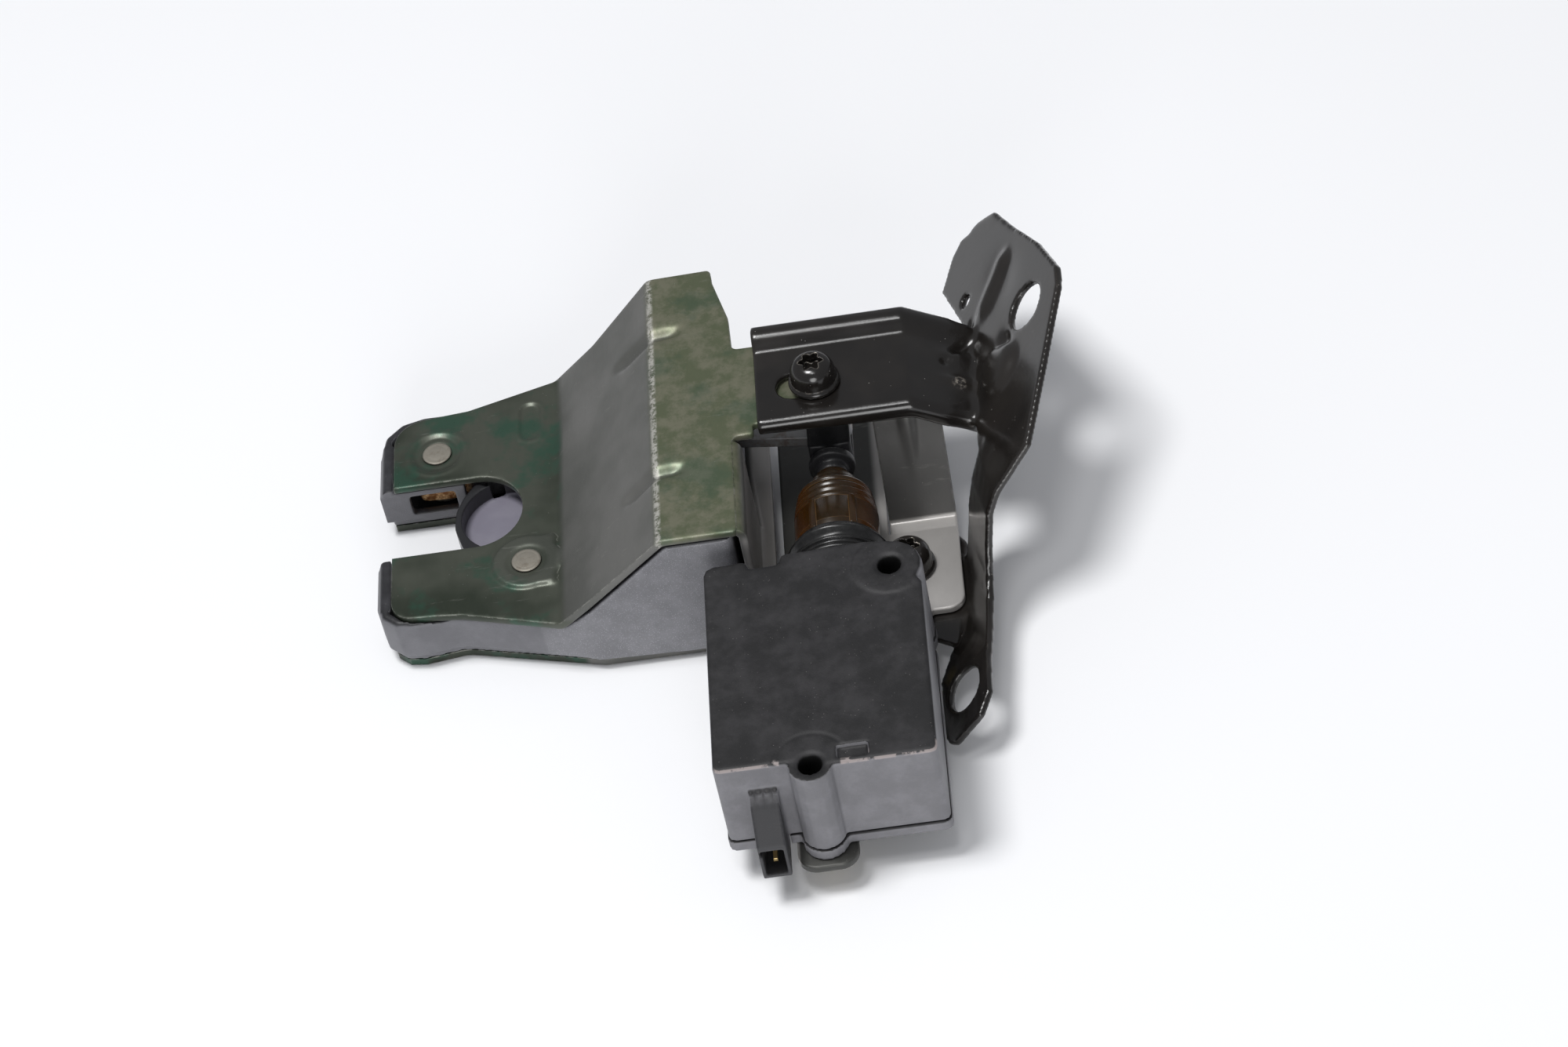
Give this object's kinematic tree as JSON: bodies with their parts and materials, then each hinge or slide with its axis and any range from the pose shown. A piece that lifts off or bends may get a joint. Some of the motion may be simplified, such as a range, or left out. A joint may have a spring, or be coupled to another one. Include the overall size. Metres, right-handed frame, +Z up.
{
  "type": "tailgate lock",
  "caption": "Rotary-catch tailgate lock: a forked catch between two pressed plates, a release motor that pushes a lever, and a folded mounting bracket.",
  "frame": {"origin": "the catch's pivot axis where it meets the plane that the bottom plate lies on", "axes": "+Z up from the bottom plate, +Y from the motor unit towards the release lever, +X from the striker mouth towards the mounting bracket"},
  "size_m": [0.1727, 0.1726, 0.0601],
  "materials": {
    "chromated_steel": "olive chromate on pressed steel, slightly iridescent",
    "black_steel": "glossy black coating, worn at the edges",
    "rivet_steel": "dull bare steel",
    "spring_steel": "plain steel",
    "yellow_zinc": "yellow zinc plate",
    "black_plastic": "black moulding, satin",
    "cover_plastic": "black moulding, matt and dusty",
    "greased_steel": "steel under brown grease",
    "catch_jacket": "moulded jacket over the steel catch",
    "amber_plastic": "dark amber, slightly translucent",
    "boot_rubber": "soft satin",
    "brass": "bright",
    "gear_plastic": "natural white moulding"
  },
  "bodies": {
    "lock": {"lock_plate": "chromated_steel", "bottom_plate": "chromated_steel", "lock_housing": "black_plastic", "claw_rivet": "rivet_steel", "pawl_rivet": "rivet_steel", "release_lever_pin": "rivet_steel", "claw_spring": "spring_steel", "pawl_spring": "spring_steel", "actuator_cover": "cover_plastic", "actuator_base": "cover_plastic", "actuator_motor": "spring_steel", "rubber_boot": "boot_rubber", "connector_pin_low": "brass", "connector_pin_high": "brass", "unit_screw_front": "yellow_zinc", "unit_screw_rear": "yellow_zinc", "mounting_bracket": "black_steel", "bracket_screw_upper": "black_steel", "bracket_screw_lower": "black_steel", "weld_nut_upper": "spring_steel", "weld_nut_lower": "spring_steel"},
    "claw": {"claw": "catch_jacket"},
    "pawl": {"pawl": "greased_steel"},
    "lever": {"release_lever": "spring_steel"},
    "push_rod": {"plunger": "gear_plastic", "rod_clip": "amber_plastic", "release_yoke": "black_plastic"},
    "spindle": {"spindle_gear": "gear_plastic"},
    "pinion": {"motor_pinion": "brass"}
  },
  "joints": [
    {"name": "claw_hinge", "type": "hinge", "parent": "lock", "child": "claw", "pos_m": [0, 0, 0.01], "axis": [0, 0, 1], "range_deg": [0, 62]},
    {"name": "pawl_hinge", "type": "hinge", "parent": "lock", "child": "pawl", "pos_m": [-0.0222, 0.0407, 0.01], "axis": [0, 0, 1], "range_deg": [-8, 0]},
    {"name": "plunger_slide", "type": "slide", "parent": "lock", "child": "push_rod", "axis": [0, 1, 0], "range_m": [0, 0.016]},
    {"name": "lever_hinge", "type": "hinge", "parent": "lock", "child": "lever", "pos_m": [0.038, 0.032, 0.024], "axis": [0, 0, 1], "range_deg": [0, 24.3]},
    {"name": "spindle_spin", "type": "hinge", "parent": "lock", "child": "spindle", "pos_m": [0.0753, -0.052, 0.024], "axis": [0, 1, 0], "range_deg": [0, 360.5]},
    {"name": "pinion_spin", "type": "hinge", "parent": "lock", "child": "pinion", "pos_m": [0.0615, -0.052, 0.024], "axis": [0, 1, 0], "range_deg": [-1021, 0]}
  ],
  "couplings": [
    {"joint": "lever_hinge", "follows": "plunger_slide", "rad_per_m": 26.4},
    {"joint": "spindle_spin", "follows": "plunger_slide", "rad_per_m": 392.7},
    {"joint": "pinion_spin", "follows": "plunger_slide", "rad_per_m": -1112.6}
  ]
}
